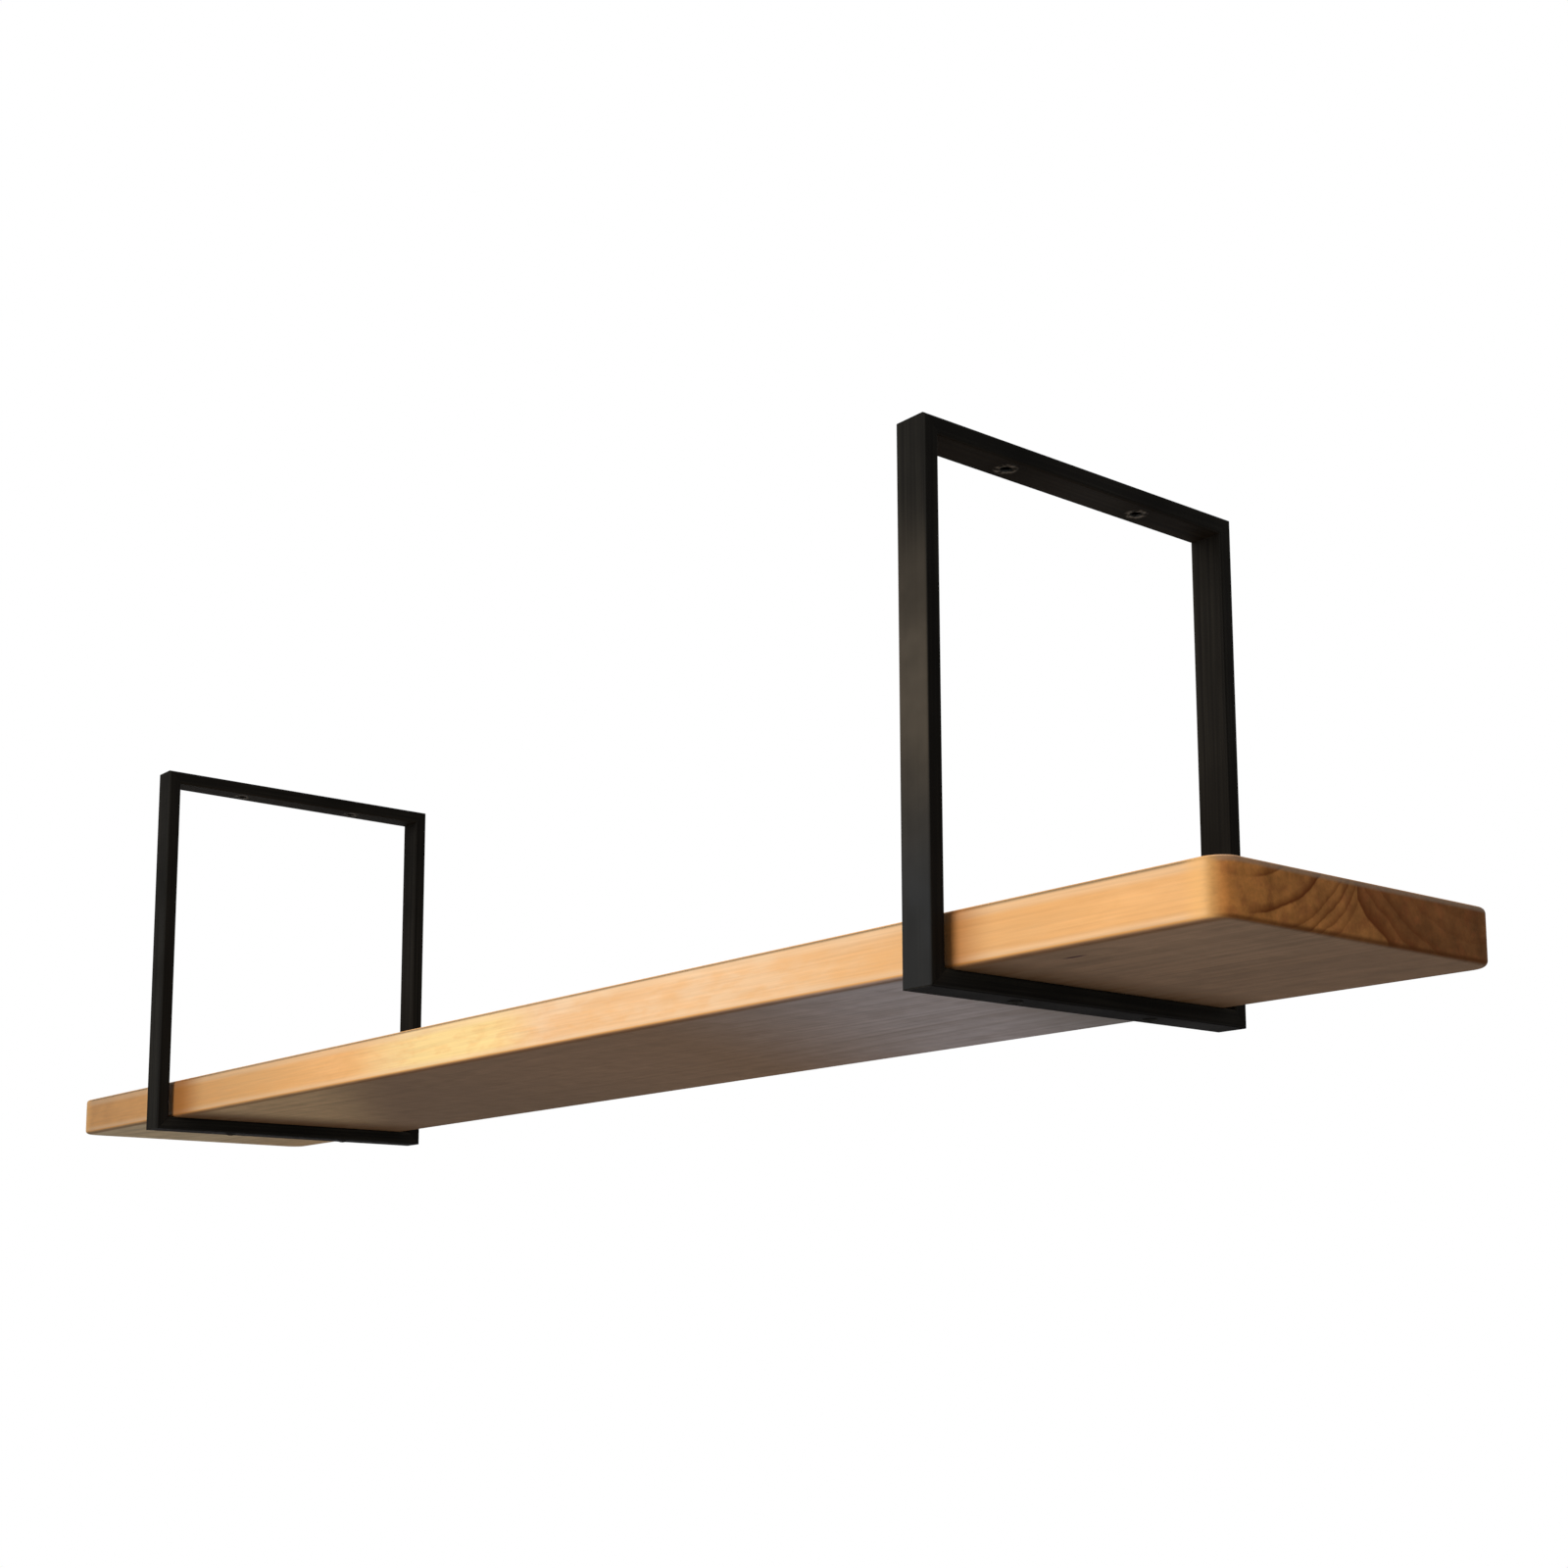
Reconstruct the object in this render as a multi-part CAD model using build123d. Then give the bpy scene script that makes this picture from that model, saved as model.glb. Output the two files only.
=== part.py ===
from build123d import *
import os
from math import sqrt

# Ceiling-hung shelf: a glued pine board carried in two welded steel frames.
# Sizes are in millimetres. The origin is on the ceiling plane, in the middle of
# the four ceiling holes. X runs along the board, Y from front to back, Z up.

# Board, glued up from two staves edge to edge
BOARD_LENGTH = 1290.0
BOARD_DEPTH = 213.0
FRONT_STAVE_DEPTH = 98.0
BOARD_THICKNESS = 30.0
BOARD_CORNER_RADIUS = 14.0
BOARD_EDGE_RADIUS = 3.0
BOARD_FRONT_GAP = 4.0

# Frames, each welded from four mitred lengths of rectangular tube
FRAME_SPACING = 922.0
FRAME_DEPTH = 244.0
FRAME_HEIGHT = 300.0
TUBE_WIDTH = 22.0
TUBE_DEPTH = 10.0
TUBE_WALL = 1.2
TUBE_OUTER_RADIUS = 1.5
TUBE_INNER_RADIUS = TUBE_OUTER_RADIUS - TUBE_WALL
WELD_GAP = 1.0

# Holes, on the same pitch in the top and the bottom bars
HOLE_PITCH = 104.0
CEILING_HOLE_DIAMETER = 7.0
SCREW_HOLE_DIAMETER = 4.6

# Wood screws, driven up through the bottom bars into the board
SCREW_LENGTH = 30.0
SCREW_PLAIN_LENGTH = 12.0
SCREW_TIP_LENGTH = 4.0
SCREW_CREST_RADIUS = 2.0
SCREW_CORE_RADIUS = 1.4
THREAD_PITCH = 1.8
HEAD_RADIUS = 4.0
HEAD_HEIGHT = 1.4
HEAD_RIM_HEIGHT = 0.5
RECESS_LENGTH = 4.4
RECESS_WIDTH = 1.0
RECESS_DEPTH = 0.9
PILOT_CLEARANCE = 0.05

# Positions that follow from the sizes above
TOP_Z = 0.0
BOTTOM_Z = -FRAME_HEIGHT
BOARD_BOTTOM_Z = BOTTOM_Z + TUBE_DEPTH
BOARD_FRONT_Y = -FRAME_DEPTH / 2 + TUBE_DEPTH + BOARD_FRONT_GAP
BOARD_MIDDLE_Y = BOARD_FRONT_Y + BOARD_DEPTH / 2
GLUE_JOINT_Y = BOARD_FRONT_Y + FRONT_STAVE_DEPTH
HOLE_YS = {"front": -HOLE_PITCH / 2, "rear": HOLE_PITCH / 2}
FRAME_XS = {"left": -FRAME_SPACING / 2, "right": FRAME_SPACING / 2}
CUT_MARGIN = 2.0

# Corner name: Y and Z sign of the way out of the frame's window
CORNERS = {
    "front_top": (-1, 1),
    "rear_top": (1, 1),
    "rear_bottom": (1, -1),
    "front_bottom": (-1, -1),
}

# Member name: the two corners that it runs between
MEMBERS = {
    "top_bar": ("front_top", "rear_top"),
    "bottom_bar": ("front_bottom", "rear_bottom"),
    "front_upright": ("front_top", "front_bottom"),
    "rear_upright": ("rear_top", "rear_bottom"),
}


def corner_point(corner, inset):
    """Y and Z of a frame corner, moved in from both outer faces by the inset."""
    out_y, out_z = CORNERS[corner]
    y = out_y * (FRAME_DEPTH / 2 - inset)
    z = (TOP_Z + BOTTOM_Z) / 2 + out_z * (FRAME_HEIGHT / 2 - inset)
    return y, z


def tube_blank(member):
    """Square-ended tube over the full outside length of a frame member."""
    first, last = MEMBERS[member]
    start = Vector(0, *corner_point(first, TUBE_DEPTH / 2))
    end = Vector(0, *corner_point(last, TUBE_DEPTH / 2))
    along = (end - start).normalized()
    section = Plane(start - along * TUBE_DEPTH / 2, x_dir=(1, 0, 0), z_dir=along)
    outside = RectangleRounded(TUBE_WIDTH, TUBE_DEPTH, TUBE_OUTER_RADIUS)
    inside = RectangleRounded(
        TUBE_WIDTH - 2 * TUBE_WALL, TUBE_DEPTH - 2 * TUBE_WALL, TUBE_INNER_RADIUS
    )
    return extrude(section * (outside - inside), amount=(end - start).length + TUBE_DEPTH)


def mitre_wedge(member):
    """Block that keeps a member's own side of its two 45 degree end cuts."""
    first, last = MEMBERS[member]
    outline = [
        corner_point(first, 0),
        corner_point(last, 0),
        corner_point(last, TUBE_DEPTH),
        corner_point(first, TUBE_DEPTH),
    ]
    face = Plane.YZ * make_face(Polyline(*outline, close=True))
    return extrude(face, amount=TUBE_WIDTH / 2 + CUT_MARGIN, both=True)


def mitred_tube(member):
    """Frame member with its ends cut to meet its neighbours."""
    return tube_blank(member) & mitre_wedge(member)


def weld_slab(corner):
    """Flat block along a corner's mitre, as thick as the gap that the weld fills."""
    out_y, out_z = CORNERS[corner]
    y, z = corner_point(corner, TUBE_DEPTH / 2)
    mitre = Plane((0, y, z), x_dir=(1, 0, 0), z_dir=(0, out_z, -out_y))
    return mitre * Box(TUBE_WIDTH + 2 * CUT_MARGIN, 2 * TUBE_DEPTH, WELD_GAP)


def corner_weld(corner):
    """Weld seam between two members, ground flush with their outside faces."""
    sides = [mitred_tube(name) for name, ends in MEMBERS.items() if corner in ends]
    return weld_slab(corner) & (sides[0] + sides[1])


def bar_holes(z, diameter):
    """Upright cylinders at the two hole places of a bar."""
    return [Pos(0, y, z) * Cylinder(diameter / 2, 2 * TUBE_DEPTH) for y in HOLE_YS.values()]


def frame_member(member):
    """One finished length of tube: mitred, set back for the welds and drilled."""
    tube = mitred_tube(member)
    for corner in MEMBERS[member]:
        tube -= weld_slab(corner)
    if member == "top_bar":
        tube -= bar_holes(TOP_Z - TUBE_DEPTH / 2, CEILING_HOLE_DIAMETER)
    if member == "bottom_bar":
        tube -= bar_holes(BOTTOM_Z + TUBE_DEPTH / 2, SCREW_HOLE_DIAMETER)
    return tube


def screw_outline():
    """Half section of a screw above its head, head seat at zero height."""
    points = [(0, 0), (SCREW_CREST_RADIUS, 0), (SCREW_CREST_RADIUS, SCREW_PLAIN_LENGTH)]
    height = SCREW_PLAIN_LENGTH
    while height + THREAD_PITCH < SCREW_LENGTH - SCREW_TIP_LENGTH:
        points.append((SCREW_CORE_RADIUS, height + THREAD_PITCH / 3))
        points.append((SCREW_CORE_RADIUS, height + THREAD_PITCH * 2 / 3))
        points.append((SCREW_CREST_RADIUS, height + THREAD_PITCH))
        height += THREAD_PITCH
    points.append((SCREW_CORE_RADIUS, height + THREAD_PITCH / 3))
    points.append((SCREW_CORE_RADIUS, SCREW_LENGTH - SCREW_TIP_LENGTH))
    points.append((0, SCREW_LENGTH))
    return make_face(Plane.XZ * Polyline(*points, close=True))


def head_outline():
    """Half section of the domed head below its seat."""
    rise = HEAD_HEIGHT - HEAD_RIM_HEIGHT
    dome_radius = (HEAD_RADIUS**2 + rise**2) / (2 * rise)
    rim = (HEAD_RADIUS, -HEAD_RIM_HEIGHT)
    half_way = HEAD_RADIUS / 2
    middle = (half_way, dome_radius - HEAD_HEIGHT - sqrt(dome_radius**2 - half_way**2))
    crown = (0, -HEAD_HEIGHT)
    sides = Polyline(crown, (0, 0), (HEAD_RADIUS, 0), rim)
    dome = ThreePointArc(rim, middle, crown)
    return make_face(Plane.XZ * (sides + dome))


def wood_screw():
    """Domed-head wood screw pointing up, with ring ridges for its thread."""
    screw = revolve(screw_outline(), Axis.Z) + revolve(head_outline(), Axis.Z)
    recess_z = -HEAD_HEIGHT + RECESS_DEPTH / 2 - CUT_MARGIN / 2
    slot = Box(RECESS_LENGTH, RECESS_WIDTH, RECESS_DEPTH + CUT_MARGIN)
    screw -= Pos(0, 0, recess_z) * slot
    screw -= Pos(0, 0, recess_z) * (Rot(0, 0, 90) * slot)
    return screw


def pilot_hole():
    """Blind hole in the board for the part of a screw above the bottom bar."""
    radius = SCREW_CREST_RADIUS + PILOT_CLEARANCE
    depth = SCREW_LENGTH - TUBE_DEPTH + PILOT_CLEARANCE
    return Pos(0, 0, depth / 2) * Cylinder(radius, depth)


def whole_board():
    """Board with rounded corners, eased edges and its four pilot holes."""
    face = RectangleRounded(BOARD_LENGTH, BOARD_DEPTH, BOARD_CORNER_RADIUS)
    board = extrude(Pos(0, BOARD_MIDDLE_Y, BOARD_BOTTOM_Z) * face, amount=BOARD_THICKNESS)
    loops = board.edges().group_by(Axis.Z)
    board = fillet(loops[0] + loops[-1], BOARD_EDGE_RADIUS)
    for x in FRAME_XS.values():
        for y in HOLE_YS.values():
            board -= Pos(x, y, BOARD_BOTTOM_Z) * pilot_hole()
    return board


def board_stave(board, side):
    """Front or rear part of the board, on its side of the glue joint."""
    shift = {"front": -BOARD_DEPTH / 2, "rear": BOARD_DEPTH / 2}[side]
    block = Box(BOARD_LENGTH + CUT_MARGIN, BOARD_DEPTH, BOARD_THICKNESS + CUT_MARGIN)
    middle = Pos(0, GLUE_JOINT_Y + shift, BOARD_BOTTOM_Z + BOARD_THICKNESS / 2)
    return board & (middle * block)


def save(node, shape):
    """Write one node's solid as its own file."""
    solids = shape.solids()
    assert len(solids) == 1, (node, len(solids))
    export_step(solids[0], os.path.join("parts", node + ".step"))


os.makedirs("parts", exist_ok=True)

board = whole_board()
for side in ("front", "rear"):
    save("board_" + side + "_stave", board_stave(board, side))

members = {name: frame_member(name) for name in MEMBERS}
welds = {corner: corner_weld(corner) for corner in CORNERS}
screw = wood_screw()
for side, x in FRAME_XS.items():
    for name, tube in members.items():
        save(side + "_" + name, Pos(x, 0, 0) * tube)
    for corner, weld in welds.items():
        save(side + "_weld_" + corner, Pos(x, 0, 0) * weld)
    for end, y in HOLE_YS.items():
        save(side + "_screw_" + end, Pos(x, y, BOTTOM_Z) * screw)
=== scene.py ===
import math

import bpy
from mathutils import Matrix, Vector

# A ceiling-hung shelf: a pine board in two black steel frames. Every visible piece is a CAD node.
# This script gives each node its material and sets up the light, the floor and the camera.

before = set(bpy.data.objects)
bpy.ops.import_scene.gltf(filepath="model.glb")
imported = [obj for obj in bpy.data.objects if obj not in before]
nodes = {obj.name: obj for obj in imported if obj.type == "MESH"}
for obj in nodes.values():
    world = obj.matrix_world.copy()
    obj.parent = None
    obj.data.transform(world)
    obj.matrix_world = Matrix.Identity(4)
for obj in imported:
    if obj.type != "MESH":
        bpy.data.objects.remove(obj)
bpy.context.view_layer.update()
scene = bpy.context.scene

# Camera, fitted to the straight edges of the photograph (metres, degrees, millimetres of film)
CAMERA_PLACE = (1.26044, -0.86340, -0.47512)
CAMERA_YAW = 50.637
CAMERA_PITCH = 8.353
CAMERA_ROLL = -0.181
CAMERA_LEVEL = 90.0
CAMERA_LENS = 50.670
CAMERA_SENSOR = 36.0
CAMERA_SHIFT_UP = 0.15

# Lights (metres, degrees, watts for the spot, watts per square metre for the sun)
KEY_PLACE = (0.05, -2.00, 0.25)
KEY_TARGET = (0.29, -0.11, -0.25)
KEY_POWER = 151.0
KEY_CONE = 70.0
KEY_BLEND = 1.0
KEY_SIZE = 0.60
KEY_COLOUR = (1.0, 0.985, 0.955)
FILL_TOWARDS = (0.30, -0.45, -0.84)
FILL_STRENGTH = 1.2
FILL_ANGLE = 12.0
SEEN_COLOUR = (1.0, 1.0, 1.0)
SOFT_COLOUR = (0.96, 0.98, 1.0)
SOFT_STRENGTH = 0.30

# Floor: a wide round sheet that fades into the white surroundings at its rim
FLOOR_HEIGHT = -1.60
FLOOR_RADIUS = 7.0
FLOOR_SIDES = 64
FLOOR_COLOUR = (0.35, 0.35, 0.35)
FLOOR_SEEN = 0.60
FLOOR_FADE = (4.0, FLOOR_RADIUS, 1.0)

# Places on the object that the materials follow, in metres
BOARD_END_X = 0.645
BOARD_TOP_Z = -0.260
BOARD_BOTTOM_Z = -0.290
FRAME_X = 0.461
TUBE_HALF = 0.011
RIGHT_FRAME_FACE = FRAME_X + TUBE_HALF
LEFT_FRAME_FACE = -FRAME_X + TUBE_HALF
HOLE_Y = 0.052

# The two staves. Each ring: radius in metres, darkness, width of its dark part. The end's colour
# changes from the first tone to the second over the span of Y, and is another one past the rings
FRONT_STAVE = {
    "seed": 3.1,
    "pith": (-0.098, -0.197),
    "rings": [
        (0.0726, 0.75, 0.0024),
        (0.0890, 0.95, 0.0026),
        (0.1000, 0.55, 0.0018),
        (0.1052, 0.70, 0.0018),
        (0.1105, 0.55, 0.0018),
        (0.1160, 0.40, 0.0018),
    ],
    "end_tones": ((0.78, 0.310, 0.080), (0.58, 0.235, 0.068)),
    "end_fade": (-0.105, -0.015, 1.0),
    "past_rings": None,
}
REAR_STAVE = {
    "seed": 8.4,
    "pith": (0.0865, -0.1735),
    "rings": [
        (0.0960, 0.20, 0.0024),
        (0.1060, 0.25, 0.0026),
        (0.1190, 0.45, 0.0022),
        (0.1270, 0.50, 0.0026),
        (0.1357, 0.80, 0.0042),
    ],
    "end_tones": ((0.37, 0.140, 0.042), (0.31, 0.127, 0.042)),
    "end_fade": (-0.010, 0.100, 1.0),
    "past_rings": (0.56, 0.228, 0.066),
}

# Shape of a ring, in widths of its dark part: it darkens slowly outwards and ends sharply
RING_LEAD = 1.6
RING_LEAD_LEVEL = 0.02
RING_TAIL = 0.35
RING_MARGIN = 0.012
RING_PAST = 0.001
FINE_RING_STEP = 0.0048

# The pith's wandering along the board, and the wobble of the rings
DRIFT_ALONG = 1.6
DRIFT_REACH = 0.060
DRIFT_FADE = (BOARD_END_X, 0.15, 1.0)
WOBBLE_REACH = 0.0045
NOISE_MIDDLE = 0.5

# Noise drawn out along X as wood fibres are: scale along, scale across, detail
WOBBLE_GRAIN = (3.0, 70.0, 2.0)
FIBRE_GRAIN = (14.0, 620.0, 3.0)
STREAK_GRAIN = (2.5, 110.0, 3.0)
BLOTCH_GRAIN = (22.0, 60.0, 3.0)
FLECK_GRAIN = (55.0, 200.0, 3.0)
GRAIN_ROUGHNESS = 0.55

# Plain noise: scale, detail, roughness
DRIFT_NOISE = (1.0, 1.0, 0.5)
MOTTLE_NOISE = (130.0, 3.0, 0.5)
PATCH_NOISE = (62.0, 4.0, 0.6)
PAINT_STREAK_NOISE = (1.0, 3.0, 0.6)
PAINT_CLOUD_NOISE = (14.0, 3.0, 0.5)
PAINT_DUST_AND_SHEEN_NOISE = (26.0, 3.0, 0.5)
PAINT_WORN_NOISE = (330.0, 3.0, 0.5)
PEEL_FINE = (1400.0, 2.0, 0.5)
PEEL_COARSE = (600.0, 2.0, 0.5)

# Pine colours of the sides and top
HONEY = (0.80, 0.43, 0.170)
HONEY_PALE = (0.88, 0.61, 0.380)
HONEY_YELLOW = (0.98, 0.71, 0.305)
HONEY_LIT = (0.93, 0.50, 0.200)
HONEY_WARM = (0.84, 0.43, 0.155)
HONEY_LATE = (0.58, 0.26, 0.085)
HONEY_EDGE_HIGHLIGHT = (0.88, 0.41, 0.105)
HONEY_CORNER_HIGHLIGHT = (1.00, 0.54, 0.190)
HONEY_SHADE = (0.40, 0.13, 0.020)
ARRIS = (0.15, 0.135, 0.095)

# Pine colours of the underside, darker and greyer than the sides': partly the wood's own tone, partly
# painted shade
UNDER = (0.45, 0.270, 0.165)
UNDER_LIT = (0.86, 0.56, 0.300)
UNDER_DARK = (0.285, 0.180, 0.110)
UNDER_SHEEN = (0.77, 0.660, 0.645)
UNDER_SHADOW = (0.42, 0.370, 0.345)
UNDER_RIM = (0.30, 0.140, 0.055)
UNDER_FORE = (0.56, 0.345, 0.215)
UNDER_SHADE = (0.17, 0.080, 0.030)
UNDER_LIT_LEFT = (0.95, 0.720, 0.450)
KNOT = (0.10, 0.050, 0.040)
KNOT_PLACE = (0.5335, -0.0845)
KNOT_REACH = (0.0100, 0.0027)

# Pine colours of the two ends
END_DARK = (0.12, 0.038, 0.008)
END_RING = (0.17, 0.036, 0.005)
END_RED = (0.42, 0.135, 0.045)
END_ARRIS_SHEEN = (0.50, 0.385, 0.280)

# Paint colours
PAINT_DARK = (0.0105, 0.0094, 0.0080)
PAINT_PALE = (0.0200, 0.0180, 0.0145)
PAINT_CLOUD = (0.0080, 0.0076, 0.0068)
PAINT_CORNER = (0.026, 0.024, 0.021)
PAINT_UNDER_SHADE = (0.0030, 0.0020, 0.0018)
PAINT_DUST_AND_SHEEN = (0.0300, 0.0305, 0.0310)
PAINT_WARM = (0.078, 0.063, 0.047)
PAINT_WORN = (0.170, 0.185, 0.190)

# All fades below: where a mark begins, where it is full, and its strength there.
# Faces of the board, by how far the normal turns towards an axis
FACE_FADE = (0.35, 0.85, 1.0)
ROUNDED_FADE = (0.985, 0.90, 1.0)
# Painted shade on the rounded corners as they turn from the sides towards an end
TURN_SHADE_IN = (0.12, 0.55, 1.0)
TURN_SHADE_OUT = (0.99, 0.85, 0.30)

# Front edge along X: paler right of the middle, yellow left of it, painted light left of the middle
# and at the right end, and painted shade that dims the left end
PALE_RIGHT = (0.58, 0.20, 0.87)
PALE_LEFT = (-0.16, -0.04, 1.0)
YELLOW_RIGHT = (0.105, 0.030, 1.0)
YELLOW_LEFT = (-0.170, -0.040, 0.9)
FRONT_LIT_LEFT = (-0.32, -0.17, 1.0)
FRONT_LIT_RIGHT = (0.10, 0.00, 1.0)
FRONT_LIT_END = (0.50, 0.58, 1.0)
FRONT_SHADED_LEFT = (-0.30, -0.56, 0.55)
CORNER_HIGHLIGHT_FADE = (0.619, 0.632, 0.65)

# Sides by height, for a painted highlight along the lower edge and a pale band below the upper one,
# and by the normal's Z for the dark line along the upper arris
LOWER_HIGHLIGHT = (BOARD_BOTTOM_Z + 0.0065, BOARD_BOTTOM_Z + 0.0030, 0.45)
UPPER_BAND = (BOARD_TOP_Z - 0.0080, BOARD_TOP_Z - 0.0045, 0.45)
ARRIS_HEIGHT = (BOARD_TOP_Z - 0.0032, BOARD_TOP_Z - 0.0010, 1.0)
ARRIS_NORMAL = (0.9, 0.5, 1.0)
ARRIS_STRENGTH = 0.92
EDGE_HIGHLIGHT_STRENGTH = 0.8

# Marks on the sides, by noise; rings and fine rings by how far the front edge is faced
SIDE_BLOTCH = (0.36, 0.66, 0.45)
SIDE_FLECK = (0.42, 0.68, 0.30)
SIDE_STREAK = (0.50, 0.75, 0.10)
SIDE_FINE = (1.0, 0.0, 0.30)
SIDE_LATE = (0.0, 1.0, 0.60, 0.10)
FINE_FADE = (0.2, 1.0, 1.0)

# Underside: painted light on the left part with a slanting border, and a painted grey reflection and
# a painted shadow left of the right frame
UNDER_MIDDLE = (0.05, -0.18, 0.55)
LIT_SLANT = 1.6
LIT_FADE = (-0.26, -0.41, 0.95)
LEFT_ALONG = (-0.46, -0.54, 1.0)
LEFT_ACROSS = (0.10, -0.02, 1.0)
SHEEN_SLANT = 0.6
SHEEN_FADE = (0.13, 0.37, 1.0)
SHADOW_FADE = (0.37, 0.46, 1.0)
GREY_LIMIT = (RIGHT_FRAME_FACE, FRAME_X, 1.0)
FORE_ALONG = (0.50, 0.58, 1.0)
FORE_ACROSS = (0.030, -0.050, 1.0)

# Marks on the underside, plainer between the frames than at the right end
UNDER_MARKS = (FRAME_X, RIGHT_FRAME_FACE, 0.60, 1.30)
UNDER_STREAK = (0.42, 0.68, 0.22)
UNDER_BLOTCH = (0.45, 0.70, 0.30)
UNDER_FINE = 0.14
UNDER_LATE = 0.40
UNDER_RIM_FADE = (-0.1000, -0.1050, 0.7)
UNDER_PATCH = (0.32, 0.68, 1.07, 0.91)
KNOT_FADE = (1.0, 0.3, 0.95)

# Soft shade right of each frame: the frame's face, distance of the full shade, of none, strength
FRONT_SHADES = [(RIGHT_FRAME_FACE, -0.004, 0.034, 0.80), (LEFT_FRAME_FACE, 0.010, 0.060, 0.75)]
UNDER_SHADES = [(RIGHT_FRAME_FACE, 0.0, 0.046, 1.0), (LEFT_FRAME_FACE, 0.012, 0.085, 1.0)]

# Marks on the ends, with painted shade along the lower edge and a painted reflection along the upper
# edge
END_STREAK = (0.45, 0.75, 0.30)
END_MOTTLE = (0.48, 0.66, 0.40)
END_PATCH = (0.32, 0.68, 1.28, 0.74)
END_LATE = (-0.094, -0.076, 0.10, 0.95)
END_LOWER_SHADE = (BOARD_BOTTOM_Z + 0.0036, BOARD_BOTTOM_Z + 0.0016, 0.55)
END_UPPER = (BOARD_TOP_Z - 0.0042, BOARD_TOP_Z - 0.0022, 0.55)

# Surface of the wood
FIBRE_TONE = (0.25, 0.75, 0.91, 1.07)
FIBRE_ROUGHNESS = (0.25, 0.75, 0.46, 0.58)
ROUGHER_FACES = 0.34
WOOD_RELIEF_FIBRE = 0.6
WOOD_RELIEF_LATE = 0.4
WOOD_BUMP = (0.25, 0.0004)
WOOD_GLOSS = 0.08

# Surface of the paint; its streaks are drawn out along the tube
ALONG_UPRIGHT = (420.0, 420.0, 6.0)
ALONG_BAR = (420.0, 6.0, 420.0)
WELD_GRAIN = (300.0, 300.0, 300.0)
SCREW_GRAIN = (500.0, 500.0, 500.0)
PAINT_STREAK_FADE = (0.35, 0.70, 1.0)
PAINT_CLOUD_FADE = (0.40, 0.70, 0.6)
PAINT_CORNER_FADE = (0.97, 0.80, 0.5)
PAINT_ROUGHNESS = (0.3, 0.7, 0.68, 0.84)
PAINT_RELIEF_SHARE = 0.5
PAINT_BUMP = (0.15, 0.0002)
PAINT_GLOSS = 0.03
BAR_GLOSS = 0.015
BAR_LIFT = 1.7
# Screw heads painted lighter: painted light that offsets the shade they sit in
SCREW_LIFT_AGAINST_SHADE = 2.2

# Marks on the paint: painted shade where a bar faces down, dust with a painted sheen on one upright,
# and worn paint round the holes
LOW_FACE_FADE = (-0.5, -0.9, 0.85)
DUST_AND_SHEEN_LEVELS = (0.30, 0.70, 0.60, 1.0)
DUST_AND_SHEEN_FACE = (0.5, 0.9, 1.0)
DUST_AND_SHEEN_HEIGHT = (-0.15, -0.24, 1.0)
WARM_UPPER = (-0.03, -0.13, 1.0)
WARM_LOWER = (-0.26, -0.15, 1.0)
RIM_INNER = (0.0030, 0.0040, 1.0)
RIM_OUTER = (0.0076, 0.0052, 1.0)
WORN_LEVELS = (0.42, 0.60, 0.05, 1.00)

# Places of the colour sockets on Blender's Mix node
MIX_FIRST, MIX_SECOND, MIX_RESULT = 6, 7, 2


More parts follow.
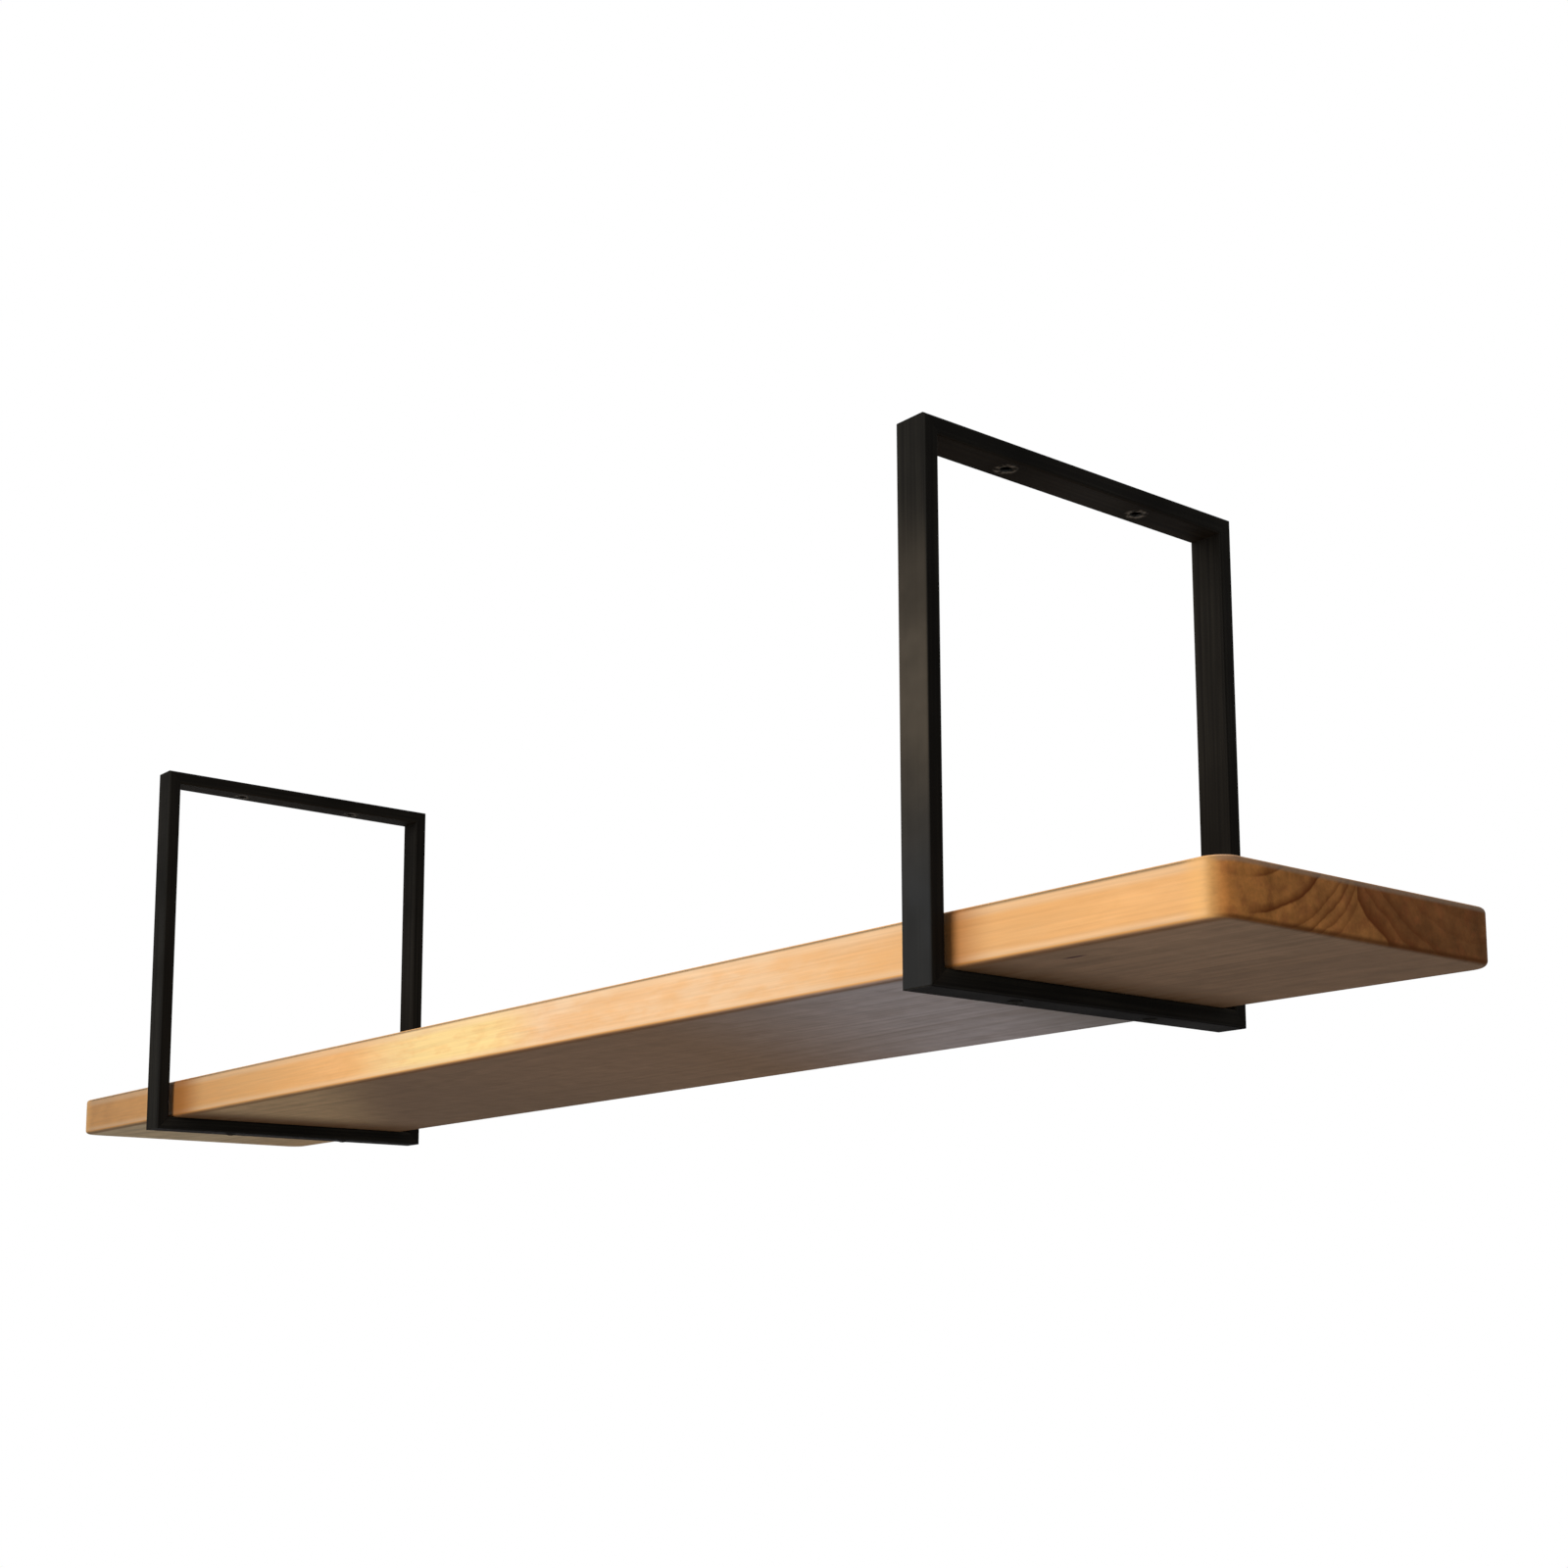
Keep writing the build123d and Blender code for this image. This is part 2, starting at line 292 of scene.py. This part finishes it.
class Shader:
    """Short calls for building one node material."""

    def __init__(self, name):
        self.material = bpy.data.materials.new(name)
        self.material.use_nodes = True
        self.tree = self.material.node_tree
        self.tree.nodes.clear()

    def node(self, kind, **settings):
        made = self.tree.nodes.new(kind)
        for key, value in settings.items():
            setattr(made, key, value)
        return made

    def put(self, socket, value):
        if isinstance(value, bpy.types.NodeSocket):
            self.tree.links.new(value, socket)
        else:
            socket.default_value = value

    def math(self, operation, *values):
        made = self.node("ShaderNodeMath", operation=operation)
        for socket, value in zip(made.inputs, values):
            self.put(socket, value)
        return made.outputs[0]

    def times(self, first, second):
        return self.math("MULTIPLY", first, second)

    def plus(self, first, second):
        return self.math("ADD", first, second)

    def minus(self, first, second):
        return self.math("SUBTRACT", first, second)

    def size(self, value):
        return self.math("ABSOLUTE", value)

    def most(self, first, *others):
        for other in others:
            first = self.math("MAXIMUM", first, other)
        return first

    def vector(self, operation, *values):
        made = self.node("ShaderNodeVectorMath", operation=operation)
        for socket, value in zip(made.inputs, values):
            self.put(socket, value)
        return made.outputs["Value" if operation == "LENGTH" else "Vector"]

    def place(self):
        return self.node("ShaderNodeTexCoord").outputs["Object"]

    def normal(self):
        return self.node("ShaderNodeNewGeometry").outputs["Normal"]

    def split(self, vector):
        made = self.node("ShaderNodeSeparateXYZ")
        self.put(made.inputs[0], vector)
        return list(made.outputs)

    def join(self, x, y, z):
        made = self.node("ShaderNodeCombineXYZ")
        for socket, value in zip(made.inputs, (x, y, z)):
            self.put(socket, value)
        return made.outputs[0]

    def noise(self, vector, scale, detail, roughness):
        made = self.node("ShaderNodeTexNoise")
        self.put(made.inputs["Vector"], vector)
        made.inputs["Scale"].default_value = scale
        made.inputs["Detail"].default_value = detail
        made.inputs["Roughness"].default_value = roughness
        return made.outputs

    def span(self, value, low, high, to_low, to_high, smooth=True):
        made = self.node("ShaderNodeMapRange")
        made.interpolation_type = "SMOOTHSTEP" if smooth else "LINEAR"
        self.put(made.inputs["Value"], value)
        made.inputs["From Min"].default_value = low
        made.inputs["From Max"].default_value = high
        made.inputs["To Min"].default_value = to_low
        made.inputs["To Max"].default_value = to_high
        return made.outputs["Result"]

    def fade(self, value, limits):
        """Smooth change from none where a mark begins to its strength where it is full."""
        begins, full, strength = limits
        return self.span(value, begins, full, 0.0, strength)

    def level(self, value, limits):
        """Straight change between two levels."""
        return self.span(value, *limits, smooth=False)

    def mix(self, factor, first, second, blend="MIX"):
        made = self.node("ShaderNodeMix", data_type="RGBA", blend_type=blend)
        self.put(made.inputs["Factor"], factor)
        for place, value in ((MIX_FIRST, first), (MIX_SECOND, second)):
            linked = isinstance(value, bpy.types.NodeSocket)
            self.put(made.inputs[place], value if linked else (*value, 1.0))
        return made.outputs[MIX_RESULT]

    def scale(self, colour, factor):
        return self.mix(1.0, colour, self.join(factor, factor, factor), "MULTIPLY")

    def ramp(self, value, stops):
        made = self.node("ShaderNodeValToRGB")
        self.put(made.inputs[0], value)
        elements = made.color_ramp.elements
        while len(elements) < len(stops):
            elements.new(0.5)  # any place does: each is set below
        for element, (position, level) in zip(elements, stops):
            element.position = position
            element.color = (level, level, level, 1.0)
        return made.outputs["Color"]

    def bump(self, height, strength, distance):
        made = self.node("ShaderNodeBump")
        made.inputs["Strength"].default_value = strength
        made.inputs["Distance"].default_value = distance
        self.put(made.inputs["Height"], height)
        return made.outputs["Normal"]

    def surface(self, **values):
        made = self.node("ShaderNodeBsdfPrincipled")
        for key, value in values.items():
            self.put(made.inputs[key.replace("_", " ")], value)
        out = self.node("ShaderNodeOutputMaterial")
        self.tree.links.new(made.outputs[0], out.inputs["Surface"])
        return self.material


def ring_stops(rings, low, high):
    """Ramp stops for dark rings between two radii."""
    stops = [(0.0, 0.0)]
    for radius, level, width in rings:
        inner = (radius - RING_LEAD * width - low) / (high - low)
        peak = (radius - low) / (high - low)
        after = (radius + RING_TAIL * width - low) / (high - low)
        stops += [(inner, RING_LEAD_LEVEL), (peak, level), (after, 0.0)]
    return stops


class Pine(Shader):
    """Oiled pine of one stave, cut from a log: rings around a pith line that runs along X."""

    def __init__(self, name, stave):
        super().__init__(name)
        self.stave = stave
        self.x, self.y, self.z = self.split(self.place())
        nx, ny, self.nz = self.split(self.normal())
        self.abs_x = self.size(nx)
        self.end_face = self.fade(self.abs_x, FACE_FADE)
        self.underside = self.fade(self.times(self.nz, -1.0), FACE_FADE)
        self.front = self.fade(self.times(ny, -1.0), FACE_FADE)
        flat = self.most(self.abs_x, self.size(ny), self.size(self.nz))
        self.rounded = self.fade(flat, ROUNDED_FADE)
        self.radius = self.ring_radius()
        self.late = self.late_wood()
        wave = self.math("SINE", self.times(self.radius, 2.0 * math.pi / FINE_RING_STEP))
        self.fine = self.fade(wave, FINE_FADE)
        self.fibre = self.grain(FIBRE_GRAIN)
        self.streak = self.grain(STREAK_GRAIN)
        self.blotch = self.grain(BLOTCH_GRAIN)
        self.fleck = self.grain(FLECK_GRAIN)
        self.mottle = self.noise(self.place(), *MOTTLE_NOISE)["Fac"]
        self.patch = self.noise(self.place(), *PATCH_NOISE)["Fac"]

    def grain(self, kind):
        """Noise drawn out along X, as wood fibres are."""
        along, across, detail = kind
        stretched = self.join(
            self.plus(self.times(self.x, along), self.stave["seed"]),
            self.times(self.y, across),
            self.times(self.z, across),
        )
        return self.noise(stretched, 1.0, detail, GRAIN_ROUGHNESS)["Fac"]

    def ring_radius(self):
        """Distance from the pith, which wanders along the board, but not at its right end."""
        away = self.fade(self.x, DRIFT_FADE)
        along = self.join(self.times(self.x, DRIFT_ALONG), self.stave["seed"], 0.0)
        drift = self.noise(along, *DRIFT_NOISE)["Color"]
        drift = self.split(self.vector("SUBTRACT", drift, (NOISE_MIDDLE,) * 3))[:2]
        off = []
        for place, pith, wander in zip((self.y, self.z), self.stave["pith"], drift):
            shift = self.times(self.times(wander, DRIFT_REACH), away)
            off.append(self.plus(self.minus(place, pith), shift))
        wobble = self.times(self.minus(self.grain(WOBBLE_GRAIN), NOISE_MIDDLE), WOBBLE_REACH)
        return self.plus(self.vector("LENGTH", self.join(0.0, *off)), wobble)

    def late_wood(self):
        """Dark late wood of the stave's own rings."""
        rings = self.stave["rings"]
        low, high = rings[0][0] - RING_MARGIN, rings[-1][0] + RING_MARGIN
        return self.ramp(self.level(self.radius, (low, high, 0.0, 1.0)), ring_stops(rings, low, high))

    def on_front(self, mark):
        return self.times(self.front, mark)

    def shade(self, places):
        """Shade to the right of the frames."""
        shades = []
        for face, near, far, strength in places:
            fading = self.fade(self.x, (face + far, face + near, 1.0))
            begun = self.fade(self.x, (face - TUBE_HALF, face, 1.0))
            shades.append(self.times(self.times(fading, begun), strength))
        return self.most(*shades)

    def side(self):
        """Sides and top: honey, with the changes of colour that the front edge shows, painted light
        and shade along it, and painted highlights on the rounded edges and corners.
        """
        x, z, mix, fade = self.x, self.z, self.mix, self.fade
        pale = self.times(fade(x, PALE_RIGHT), fade(x, PALE_LEFT))
        yellow = self.times(fade(x, YELLOW_RIGHT), fade(x, YELLOW_LEFT))
        # Painted light: a lit stretch of the front edge left of the middle and at the right end
        painted_light = self.times(fade(x, FRONT_LIT_LEFT), fade(x, FRONT_LIT_RIGHT))
        painted_light = self.most(painted_light, fade(x, FRONT_LIT_END))
        # Painted shade: the front edge dims towards the left end
        colour = mix(self.on_front(fade(x, FRONT_SHADED_LEFT)), HONEY, HONEY_LATE)
        colour = mix(self.on_front(painted_light), colour, HONEY_LIT)
        colour = mix(self.on_front(pale), colour, HONEY_PALE)
        colour = mix(fade(self.blotch, SIDE_BLOTCH), colour, HONEY_WARM)
        colour = mix(self.on_front(yellow), colour, HONEY_YELLOW)
        colour = mix(fade(self.fleck, SIDE_FLECK), colour, HONEY_WARM)
        colour = mix(self.times(self.fine, fade(self.front, SIDE_FINE)), colour, HONEY_LATE)
        colour = mix(self.times(self.late, self.span(self.front, *SIDE_LATE)), colour, HONEY_LATE)
        colour = mix(fade(self.streak, SIDE_STREAK), colour, HONEY_LATE)
        # Painted highlight: the pale band along the lower edge of the front; a pale band also runs
        # below its upper edge
        bands = self.most(fade(z, LOWER_HIGHLIGHT), fade(z, UPPER_BAND))
        colour = mix(self.on_front(bands), colour, HONEY_PALE)
        # Painted highlight on the rounded edges
        colour = mix(self.times(self.rounded, EDGE_HIGHLIGHT_STRENGTH), colour, HONEY_EDGE_HIGHLIGHT)
        arris = self.times(fade(z, ARRIS_HEIGHT), fade(self.nz, ARRIS_NORMAL))
        colour = mix(self.times(arris, ARRIS_STRENGTH), colour, ARRIS)
        # Painted highlight on the rounded corners where the front meets the ends
        colour = mix(self.on_front(fade(self.size(x), CORNER_HIGHLIGHT_FADE)), colour, HONEY_CORNER_HIGHLIGHT)
        return mix(self.on_front(self.shade(FRONT_SHADES)), colour, HONEY_SHADE)

    def slanted(self, slant):
        """Place along the board, measured with a slant across it."""
        return self.plus(self.x, self.times(self.y, slant))

    def under(self):
        """Underside: browner, partly as painted shade, with painted light to the left, and a painted
        grey reflection and a painted shadow left of the right frame.
        """
        x, y, mix, fade = self.x, self.y, self.mix, self.fade
        colour = mix(fade(x, UNDER_MIDDLE), UNDER, UNDER_DARK)
        # Painted light: the left part lit, with a slanting border
        colour = mix(fade(self.slanted(LIT_SLANT), LIT_FADE), colour, UNDER_LIT)
        # Painted light at the left end, strongest near the front edge
        left = self.times(fade(x, LEFT_ALONG), fade(y, LEFT_ACROSS))
        colour = mix(left, colour, UNDER_LIT_LEFT)
        inside = fade(x, GREY_LIMIT)
        slanted = self.slanted(SHEEN_SLANT)
        # Painted reflection: a grey sheen left of the right frame
        colour = mix(self.times(inside, fade(slanted, SHEEN_FADE)), colour, UNDER_SHEEN)
        # Painted shadow beyond the sheen, towards the rear of the right frame
        colour = mix(self.times(inside, fade(slanted, SHADOW_FADE)), colour, UNDER_SHADOW)
        fore = self.times(fade(x, FORE_ALONG), fade(y, FORE_ACROSS))
        colour = mix(fore, colour, UNDER_FORE)
        colour = mix(self.shade(UNDER_SHADES), colour, UNDER_SHADE)
        marked = self.span(x, *UNDER_MARKS)
        colour = mix(self.times(marked, fade(self.streak, UNDER_STREAK)), colour, UNDER_DARK)
        colour = mix(self.times(self.fine, UNDER_FINE), colour, UNDER_DARK)
        late = self.times(self.late, UNDER_LATE)
        colour = mix(self.times(marked, late), colour, UNDER_DARK)
        colour = mix(self.times(marked, fade(self.blotch, UNDER_BLOTCH)), colour, UNDER_DARK)
        # Painted shade: a dark rim where the underside rounds up into the front edge
        colour = mix(fade(y, UNDER_RIM_FADE), colour, UNDER_RIM)
        colour = self.scale(colour, self.level(self.patch, UNDER_PATCH))
        from_knot = [
            self.math("DIVIDE", self.minus(place, middle), reach)
            for place, middle, reach in zip((x, y), KNOT_PLACE, KNOT_REACH)
        ]
        from_knot = self.vector("LENGTH", self.join(*from_knot, 0.0))
        return mix(fade(from_knot, KNOT_FADE), colour, KNOT)

    def end(self):
        """Ends: the rings cut across."""
        z, mix, fade = self.z, self.mix, self.fade
        colour = mix(fade(self.y, self.stave["end_fade"]), *self.stave["end_tones"])
        if self.stave["past_rings"]:
            last = self.stave["rings"][-1][0]
            past = fade(self.radius, (last, last + RING_PAST, 1.0))
            colour = mix(past, colour, self.stave["past_rings"])
        colour = mix(fade(self.streak, END_STREAK), colour, END_DARK)
        colour = mix(fade(self.mottle, END_MOTTLE), colour, END_RED)
        colour = self.scale(colour, self.level(self.patch, END_PATCH))
        colour = mix(self.times(self.late, self.span(self.y, *END_LATE)), colour, END_RING)
        # Painted shade along the end's lower edge
        colour = mix(fade(z, END_LOWER_SHADE), colour, END_DARK)
        # Painted reflection: a greyer band along the end's upper edge
        return mix(fade(z, END_UPPER), colour, END_ARRIS_SHEEN)

    def finished(self):
        """The whole material."""
        colour = self.mix(self.underside, self.side(), self.under())
        colour = self.mix(self.end_face, colour, self.end())
        # Painted shade where a rounded corner turns from the side towards an end
        turn = self.times(self.fade(self.abs_x, TURN_SHADE_IN), self.fade(self.abs_x, TURN_SHADE_OUT))
        colour = self.mix(turn, colour, END_DARK)
        colour = self.scale(colour, self.level(self.fibre, FIBRE_TONE))
        rougher = self.times(self.most(self.underside, self.end_face), ROUGHER_FACES)
        relief = self.plus(
            self.times(self.fibre, WOOD_RELIEF_FIBRE), self.times(self.late, WOOD_RELIEF_LATE)
        )
        return self.surface(
            Base_Color=colour,
            Roughness=self.plus(self.level(self.fibre, FIBRE_ROUGHNESS), rougher),
            Normal=self.bump(relief, *WOOD_BUMP),
            Specular_IOR_Level=WOOD_GLOSS,
        )


def shaded_underside(s, colour):
    """Painted shade: blacker paint where a bar faces down."""
    nz = s.split(s.normal())[2]
    return s.mix(s.fade(nz, LOW_FACE_FADE), colour, PAINT_UNDER_SHADE)


def dust_and_sheen_front(s, colour):
    """Grey dust and painted sheen low on the front and back of an upright, and a warmer patch of both
    above it.
    """
    z = s.split(s.place())[2]
    ny = s.split(s.normal())[1]
    # Dust and painted sheen share one mask
    dust_and_sheen = s.span(s.noise(s.place(), *PAINT_DUST_AND_SHEEN_NOISE)["Fac"], *DUST_AND_SHEEN_LEVELS)
    dust_and_sheen = s.times(dust_and_sheen, s.fade(s.size(ny), DUST_AND_SHEEN_FACE))
    colour = s.mix(s.times(s.fade(z, DUST_AND_SHEEN_HEIGHT), dust_and_sheen), colour, PAINT_DUST_AND_SHEEN)
    warm = s.times(s.fade(z, WARM_UPPER), s.fade(z, WARM_LOWER))
    return s.mix(s.times(warm, dust_and_sheen), colour, PAINT_WARM)


def worn_holes(s, colour):
    """Paint worn pale round the ceiling holes."""
    x, y = s.split(s.place())[:2]
    from_frame = s.minus(s.size(x), FRAME_X)
    from_hole = s.minus(s.size(y), HOLE_Y)
    reach = s.vector("LENGTH", s.join(from_frame, from_hole, 0.0))
    rim = s.times(s.fade(reach, RIM_INNER), s.fade(reach, RIM_OUTER))
    worn = s.span(s.noise(s.place(), *PAINT_WORN_NOISE)["Fac"], *WORN_LEVELS)
    return s.mix(s.times(rim, worn), colour, PAINT_WORN)


def paint(name, stretch, mark=None, lift=1.0, gloss=PAINT_GLOSS, peel=PEEL_FINE):
    """Satin black paint on steel, with streaks along the tube and paler corners."""
    s = Shader(name)
    scaled = [s.times(along, factor) for along, factor in zip(s.split(s.place()), stretch)]
    streak = s.noise(s.join(*scaled), *PAINT_STREAK_NOISE)["Fac"]
    cloud = s.noise(s.place(), *PAINT_CLOUD_NOISE)["Fac"]
    skin = s.noise(s.place(), *peel)["Fac"]
    colour = s.mix(s.fade(streak, PAINT_STREAK_FADE), PAINT_DARK, PAINT_PALE)
    colour = s.mix(s.fade(cloud, PAINT_CLOUD_FADE), colour, PAINT_CLOUD)
    flat = s.most(*[s.size(part) for part in s.split(s.normal())])
    colour = s.mix(s.fade(flat, PAINT_CORNER_FADE), colour, PAINT_CORNER)
    colour = s.scale(colour, lift)
    if mark:
        colour = mark(s, colour)
    relief = s.plus(s.times(skin, PAINT_RELIEF_SHARE), s.times(streak, PAINT_RELIEF_SHARE))
    return s.surface(
        Base_Color=colour,
        Roughness=s.level(cloud, PAINT_ROUGHNESS),
        Normal=s.bump(relief, *PAINT_BUMP),
        Specular_IOR_Level=gloss,
    )


def dress():
    """Give every CAD node its material: its own, or the one for its kind."""
    own = {
        "board_front_stave": Pine("pine_front", FRONT_STAVE).finished(),
        "board_rear_stave": Pine("pine_rear", REAR_STAVE).finished(),
        "right_front_upright": paint("paint_dust_and_sheen", ALONG_UPRIGHT, dust_and_sheen_front),
    }
    kinds = {
        "upright": paint("paint_upright", ALONG_UPRIGHT),
        "bottom_bar": paint("paint_bar", ALONG_BAR, shaded_underside, BAR_LIFT, BAR_GLOSS),
        "top_bar": paint("paint_top_bar", ALONG_BAR, worn_holes),
        "weld": paint("paint_weld", WELD_GRAIN, peel=PEEL_COARSE),
        # Screw heads lighter than the frame's paint: painted light
        "screw": paint("screw_black", SCREW_GRAIN, lift=SCREW_LIFT_AGAINST_SHADE),
    }
    for name, node in nodes.items():
        material = own.get(name)
        if material is None:
            material = next(made for kind, made in kinds.items() if kind in name)
        node.data.materials.clear()
        node.data.materials.append(material)


def background_ray(tree):
    """Factor that is one where the camera, a mirror or glass sees the surroundings."""
    path = tree.nodes.new("ShaderNodeLightPath")
    total = path.outputs["Is Camera Ray"]
    for extra in ("Is Glossy Ray", "Is Transmission Ray"):
        add = tree.nodes.new("ShaderNodeMath")
        add.operation = "MAXIMUM"
        tree.links.new(total, add.inputs[0])
        tree.links.new(path.outputs[extra], add.inputs[1])
        total = add.outputs[0]
    return total


def light_world():
    """White surroundings to look at, soft grey light from all round."""
    world = bpy.data.worlds.new("studio")
    world.use_nodes = True
    scene.world = world
    tree = world.node_tree
    tree.nodes.clear()
    seen = tree.nodes.new("ShaderNodeBackground")
    seen.inputs["Color"].default_value = (*SEEN_COLOUR, 1.0)
    soft = tree.nodes.new("ShaderNodeBackground")
    soft.inputs["Color"].default_value = (*SOFT_COLOUR, 1.0)
    soft.inputs["Strength"].default_value = SOFT_STRENGTH
    mix = tree.nodes.new("ShaderNodeMixShader")
    out = tree.nodes.new("ShaderNodeOutputWorld")
    tree.links.new(background_ray(tree), mix.inputs[0])
    tree.links.new(soft.outputs[0], mix.inputs[1])
    tree.links.new(seen.outputs[0], mix.inputs[2])
    tree.links.new(mix.outputs[0], out.inputs["Surface"])


def add_lamp(name, lamp, towards):
    """Put a lamp in the scene, turned to shine along a direction."""
    made = bpy.data.objects.new(name, lamp)
    scene.collection.objects.link(made)
    made.rotation_euler = Vector(towards).to_track_quat("-Z", "Y").to_euler()
    return made


def add_lamps():
    """Soft key from the front, whose edge dims the left end, and a fill from behind above."""
    key = bpy.data.lights.new("key", "SPOT")
    key.energy = KEY_POWER
    key.spot_size = math.radians(KEY_CONE)
    key.spot_blend = KEY_BLEND
    key.shadow_soft_size = KEY_SIZE
    key.color = KEY_COLOUR
    add_lamp("key", key, Vector(KEY_TARGET) - Vector(KEY_PLACE)).location = KEY_PLACE
    fill = bpy.data.lights.new("fill", "SUN")
    fill.energy = FILL_STRENGTH
    fill.angle = math.radians(FILL_ANGLE)
    add_lamp("fill", fill, FILL_TOWARDS)


def floor_material():
    """Pale matt floor that looks white and shows a soft shadow."""
    s = Shader("floor_pale")
    matte = s.node("ShaderNodeBsdfDiffuse")
    s.put(matte.inputs["Color"], (*FLOOR_COLOUR, 1.0))
    white = s.node("ShaderNodeEmission")
    s.put(white.inputs["Strength"], s.times(background_ray(s.tree), FLOOR_SEEN))
    both = s.node("ShaderNodeAddShader")
    s.put(both.inputs[0], matte.outputs[0])
    s.put(both.inputs[1], white.outputs[0])
    clear = s.node("ShaderNodeBsdfTransparent")
    rim = s.fade(s.vector("LENGTH", s.place()), FLOOR_FADE)
    mix = s.node("ShaderNodeMixShader")
    for socket, value in zip(mix.inputs, (rim, both.outputs[0], clear.outputs[0])):
        s.put(socket, value)
    out = s.node("ShaderNodeOutputMaterial")
    s.put(out.inputs["Surface"], mix.outputs[0])
    return s.material


def add_floor():
    """Round pale floor below the hanging shelf, out of the photograph's view."""
    mesh = bpy.data.meshes.new("floor")
    turns = [2.0 * math.pi * step / FLOOR_SIDES for step in range(FLOOR_SIDES)]
    rim = [(FLOOR_RADIUS * math.cos(turn), FLOOR_RADIUS * math.sin(turn), 0.0) for turn in turns]
    mesh.from_pydata(rim, [], [tuple(range(len(rim)))])
    mesh.materials.append(floor_material())
    floor = bpy.data.objects.new("floor", mesh)
    floor.location = (0.0, 0.0, FLOOR_HEIGHT)
    scene.collection.objects.link(floor)


def add_camera():
    """Camera at the photograph's place and angle."""
    data = bpy.data.cameras.new("photo_camera")
    data.sensor_width = CAMERA_SENSOR
    data.lens = CAMERA_LENS
    data.shift_y = CAMERA_SHIFT_UP
    camera = bpy.data.objects.new("photo_camera", data)
    scene.collection.objects.link(camera)
    turn = Matrix.Rotation(math.radians(CAMERA_YAW), 4, "Z")
    tilt = Matrix.Rotation(math.radians(CAMERA_LEVEL + CAMERA_PITCH), 4, "X")
    roll = Matrix.Rotation(math.radians(CAMERA_ROLL), 4, "Z")
    camera.matrix_world = Matrix.Translation(CAMERA_PLACE) @ turn @ tilt @ roll
    scene.camera = camera


dress()
light_world()
add_lamps()
add_floor()
add_camera()
scene.view_settings.view_transform = "Standard"
